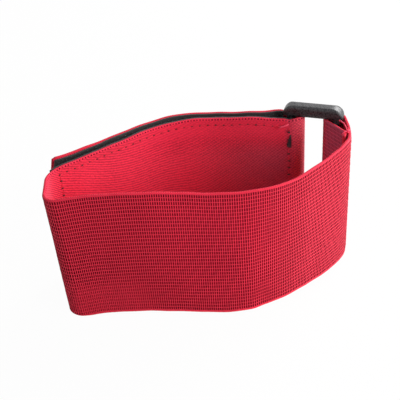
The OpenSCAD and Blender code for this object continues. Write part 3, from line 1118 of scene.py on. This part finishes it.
STITCH_R = 0.11
STITCH_RISE = 0.07
STITCH_DIVE = 0.12
INNER = -HALF_T - 0.02


def stitch(d, z, half_d, half_z, face, away, radius):
    """One stitch that rises out of the cloth and dives in again."""
    line = []
    thick = []
    for t in np.linspace(-1, 1, 9):
        rise = STITCH_RISE * (1 - t**4) - STITCH_DIVE * t * t
        line.append(spot(d + t * half_d, z + t * half_z, face + away * rise))
        thick.append(radius * MM * (1 - 0.35 * t * t))
    return tube(line, thick)


def needle_hole_shade(d, z, face, away, wide, tall):
    """Dark mark at a needle hole: a thin dark thread laid where there is only the hole's shade, painted
    shade.
    """
    ts = np.linspace(-1, 1, 5)
    line = [spot(d + t * wide, z, face + away * (0.02 + 0.1 * (1 - t * t))) for t in ts]
    return tube(line, [tall * MM * k for k in (0.35, 0.85, 1.0, 0.85, 0.35)])


def seam_rectangle(d0, d1, face, away):
    """Stitches of a sewn rectangle, and dark marks at its needle holes, which are painted shade."""
    stitches = []
    hole_shades = []
    low = Z0 + SEAM_INSET
    high = Z1 - SEAM_INSET
    n = round((d1 - d0) / STITCH)
    m = round((high - low) / STITCH)
    step_d = (d1 - d0) / n
    step_z = (high - low) / m
    for edge_z in (low, high):
        for i in range(n):
            d = d0 + i * step_d
            z = edge_z + rng.uniform(-0.12, 0.12)
            stitches.append(stitch(d + step_d / 2, z, step_d * 0.4, 0, face, away, STITCH_R))
            hole_shades.append(needle_hole_shade(d, z, face, away, 0.3, rng.uniform(0.15, 0.28)))
    for end_d in (d0, d1):
        for j in range(m):
            d = end_d + rng.uniform(-0.1, 0.1)
            z = low + j * step_z
            stitches.append(stitch(d, z + step_z / 2, 0, step_z * 0.4, face, away, STITCH_R))
            hole_shades.append(needle_hole_shade(d, z + 0.55, face, away, 0.5, 0.27))
    return stitches, hole_shades


stitches, hole_shades = seam_rectangle(SEAM_LEFT, SEAM_RIGHT, INNER, -1)
loop_seam = joined("loop_seam_stitches", stitches, THREAD_RED)


# Back-tack: where each thread starts and ends beside the seam's right end, and its radii
TACK_TOP = Z1 - TACK_DOWN + 3.0
TACK_LEN = 4.9
TACK_THREADS = ((0.6, -0.62), (0.7, -0.3), (0.6, 0.15), (0.5, 0.45), (0.65, 0.62))
TACK_RADII = (0.1, 0.22, 0.27, 0.3, 0.32, 0.3, 0.2)


def back_tack():
    """Bunch of dark needle thread where the seam was started and locked."""
    parts = []
    for k, (start, end) in enumerate(TACK_THREADS):
        line = []
        for t in np.linspace(0, 1, len(TACK_RADII)):
            d = SEAM_RIGHT + start + (end - start) * t
            z = TACK_TOP - TACK_LEN * t - 0.12 * k
            line.append(spot(d, z, INNER - 0.1 - 0.12 * math.sin(math.pi * t)))
        parts.append(tube(line, [r * MM for r in TACK_RADII]))
    # Two dark marks at needle holes above the bunch: painted shade
    for d in (-0.75, 0.05):
        parts.append(needle_hole_shade(SEAM_RIGHT + d, TACK_TOP + 1.6, INNER, -1, 0.2, 0.2))
    return parts


# Dark marks at the loop seam's needle holes: painted shade
loop_hole_shades = joined("loop_seam_needle_hole_shade", hole_shades, HOLE_SHADE_DARK)
loop_tack = joined("loop_seam_back_tack", back_tack(), THREAD_BLACK)
# Loose end: distance from the seam's right end, depth below the edge, height above the cloth
WISP = ((-0.1, 1.35, 0.2), (-0.7, 1.6, 0.9), (-1.6, 2.0, 1.2), (-2.7, 2.4, 1.2), (-3.7, 2.7, 0.9))
WISP_RADII = (0.2, 0.27, 0.33, 0.36, 0.36)


def wisp():
    """Loose end of red thread at the seam's upper corner."""
    line = [spot(SEAM_RIGHT + d, Z1 - z, INNER - off) for d, z, off in WISP]
    return [tube(line, [r * MM for r in WISP_RADII])]


loop_wisp = joined("loop_seam_loose_end", wisp(), THREAD_WISP)
for piece in (loop_seam, loop_wisp):
    belongs(piece, "loop_tape_seam", "band")
for piece in (loop_hole_shades, loop_tack):
    belongs(piece, "loop_tape_seam", "band")

stitches, hole_shades = seam_rectangle(HOOK_FROM + SEAM_END, HOOK_TO - SEAM_END, INNER, -1)
hook_seam = joined("hook_seam_stitches", stitches, THREAD_RED)
# Dark marks at the hook seam's needle holes: painted shade
hook_hole_shades = joined("hook_seam_needle_hole_shade", hole_shades, HOLE_SHADE_DARK)
belongs(hook_seam, "hook_tape_seam", "tail")
belongs(hook_hole_shades, "hook_tape_seam", "tail")


ANCHOR_SEAM_AT = PANEL_AT + ANCHOR_LEN + ANCHOR_FIRST


def anchor_stitches():
    """Two rows across the width, on the outer face and on the flap's inner face."""
    parts = []
    height = BAND_W - 2 * ANCHOR_MARGIN
    m = round(height / STITCH)
    step_z = height / m
    flap = HALF_T + BAND_T + LAYER_GAP
    for row in (0, ANCHOR_ROWS):
        d = ANCHOR_SEAM_AT + row
        for j in range(m):
            z = Z0 + ANCHOR_MARGIN + (j + 0.5) * step_z
            parts.append(stitch(d, z, 0, step_z * 0.42, HALF_T - 0.08, 1, 0.12))
            parts.append(stitch(d, z, 0, step_z * 0.42, -flap, -1, 0.14))
    return parts


anchor_seam = joined("anchor_seam_stitches", anchor_stitches(), THREAD_RED)
belongs(anchor_seam, "anchor_seam", "band")

# Knot and loose ends on the anchor seam's upper end
KNOT_D = 1.5
KNOT_UP = 0.5
KNOT_TURNS = 3
KNOT_SAMPLES = 12
KNOT_R = 0.28
LOOSE_R = 0.25
knot_at = spot(ANCHOR_SEAM_AT, Z1, -HALF_T - LAYER_GAP / 2) + Vector((0, 0, KNOT_UP * MM))
LONG_END = ((0, 0, 0), (-0.4, 1.5, 0.9), (-0.7, 3.0, 1.3), (-1.3, 4.3, 1.4), (-2.0, 5.0, 1.6))
SHORT_END = ((0, 0, 0), (-0.9, -0.4, 0.1), (-1.7, -0.7, -0.3), (-2.3, -0.8, -0.9))


def knot():
    """Overhand knot: three tight turns of thread, with two loose ends."""
    parts = []
    turns = []
    for k in range(KNOT_TURNS * KNOT_SAMPLES + 1):
        a = 2 * math.pi * k / KNOT_SAMPLES
        r = KNOT_D / 2 * (0.62 + 0.16 * math.sin(a * 0.5))
        swing = Vector((r * math.cos(a), r * math.sin(a) * 0.8, 0.35 * math.sin(a * 1.5)))
        turns.append(knot_at + swing * MM)
    parts.append(tube(turns, [KNOT_R * MM] * len(turns)))
    for end in (LONG_END, SHORT_END):
        line = [knot_at + Vector(p) * MM for p in end]
        parts.append(tube(line, [LOOSE_R * MM] * len(line)))
    return parts


knot_piece = joined("anchor_thread_knot", knot(), THREAD_PINK)
belongs(knot_piece, "thread_ends", "band")

# Buckle: the moulding as built, with its plastic
buckle = frame["nodes"]["buckle"]
buckle.data.materials.clear()
buckle.data.materials.append(PLASTIC)


# Floor, light and camera, in metres

FLOOR_HALF = 3.0
FLOOR_BELOW = 0.0002
FLOOR_GLOW = 0.97
WORLD_FILL = 0.04


def floor_plane():
    """The plane that the strap rests on: the buckle's lower end and the front left corner."""
    across = left_of(BUCKLE_TURN)
    corner = front_corner - (FRONT_CORNER_R + HALF_T) * across
    one = Vector((*bar_a, 0)) * MM
    two = Vector((*bar_b, 0)) * MM
    three = Vector((*corner, Z0)) * MM
    up = (one - two).cross(three - two).normalized()
    up = up if up.z > 0 else -up
    return two - up * FLOOR_BELOW, up


def shown(tree):
    """1 for rays that show the stage: straight, in reflections or through clear pieces."""
    paths = tree.nodes.new("ShaderNodeLightPath")
    seen = paths.outputs["Is Camera Ray"]
    for ray in ("Is Glossy Ray", "Is Transmission Ray"):
        both = tree.nodes.new("ShaderNodeMath")
        both.operation = "MAXIMUM"
        tree.links.new(seen, both.inputs[0])
        tree.links.new(paths.outputs[ray], both.inputs[1])
        seen = both.outputs[0]
    return seen


def floor():
    """White floor, which glows for the rays that show it."""
    place, up = floor_plane()
    flat = up.to_track_quat("Z", "Y").to_matrix()
    square = ((-1, -1), (1, -1), (1, 1), (-1, 1))
    corners = [place + flat @ (FLOOR_HALF * Vector((x, y, 0))) for x, y in square]
    obj = new_mesh("floor", corners, [(0, 1, 2, 3)])
    n = Nodes("floor_white")
    grain = n.noise(n.place(), 40.0, 2.0)
    n.set(Base_Color=n.mix(grain, (0.86, 0.86, 0.86, 1), (0.9, 0.9, 0.9, 1)), Roughness=0.9)
    glow = n.tree.nodes.new("ShaderNodeEmission")
    blend = n.tree.nodes.new("ShaderNodeMixShader")
    n.put(blend.inputs[0], n.times(shown(n.tree), FLOOR_GLOW))
    n.put(blend.inputs[1], n.shader.outputs[0])
    n.put(blend.inputs[2], glow.outputs[0])
    n.put(n.tree.nodes["Material Output"].inputs["Surface"], blend.outputs[0])
    obj.data.materials.append(n.material)


def world():
    """Dim fill light, white to the rays that show it."""
    sky = bpy.data.worlds.new("studio")
    bpy.context.scene.world = sky
    sky.use_nodes = True
    tree = sky.node_tree
    back = tree.nodes["Background"]
    fill = tree.nodes.new("ShaderNodeMapRange")
    fill.inputs["To Min"].default_value = WORLD_FILL
    fill.inputs["To Max"].default_value = 1.0
    tree.links.new(shown(tree), fill.inputs["Value"])
    tree.links.new(fill.outputs[0], back.inputs["Strength"])
    back.inputs["Color"].default_value = (1, 1, 1, 1)


MIDDLE = Vector((0, 0, 0.03))
SOFTBOX = (0.5, 0.5)
LIGHTS = (
    ("key_front", (0.61, -0.46, 0.42), SOFTBOX, 5.4),
    ("key_right", (0.82, 0.1, 0.32), SOFTBOX, 3.5),
    ("fill_left", (-0.6, -0.5, 0.35), SOFTBOX, 1.15),
    ("rim_back", (0.55, 0.55, 0.45), SOFTBOX, 7.2),
    ("panel_back", (0.08, 0.95, 0.68), (0.7, 0.5), 0.7),
)


def area_light(name, place, size, power):
    data = bpy.data.lights.new(name, "AREA")
    data.shape = "RECTANGLE"
    data.size = size[0]
    data.size_y = size[1]
    data.energy = power
    obj = linked(name, data)
    obj.location = place
    obj.rotation_euler = (MIDDLE - Vector(place)).to_track_quat("-Z", "Y").to_euler()


# Camera solved from the photograph's edges, in millimetres and degrees
CAMERA_AT = Vector((-1.95, -225.3, 191.2))
CAMERA_DOWN = 35.0
CAMERA_ROLL = 4.7
FOCAL_PIXELS = 767.9
IMAGE_PIXELS = 400
SENSOR = 36.0


def camera():
    data = bpy.data.cameras.new("camera")
    data.sensor_width = SENSOR
    data.lens = FOCAL_PIXELS / IMAGE_PIXELS * SENSOR
    data.clip_start = 0.01
    data.clip_end = 20
    obj = linked("camera", data)
    tilt = Matrix.Rotation(math.radians(90 - CAMERA_DOWN), 4, "X")
    roll = Matrix.Rotation(math.radians(-CAMERA_ROLL), 4, "Z")
    obj.matrix_world = Matrix.Translation(CAMERA_AT * MM) @ tilt @ roll
    bpy.context.scene.camera = obj


floor()
world()
for light in LIGHTS:
    area_light(*light)
camera()

bpy.context.scene.view_settings.view_transform = "Standard"
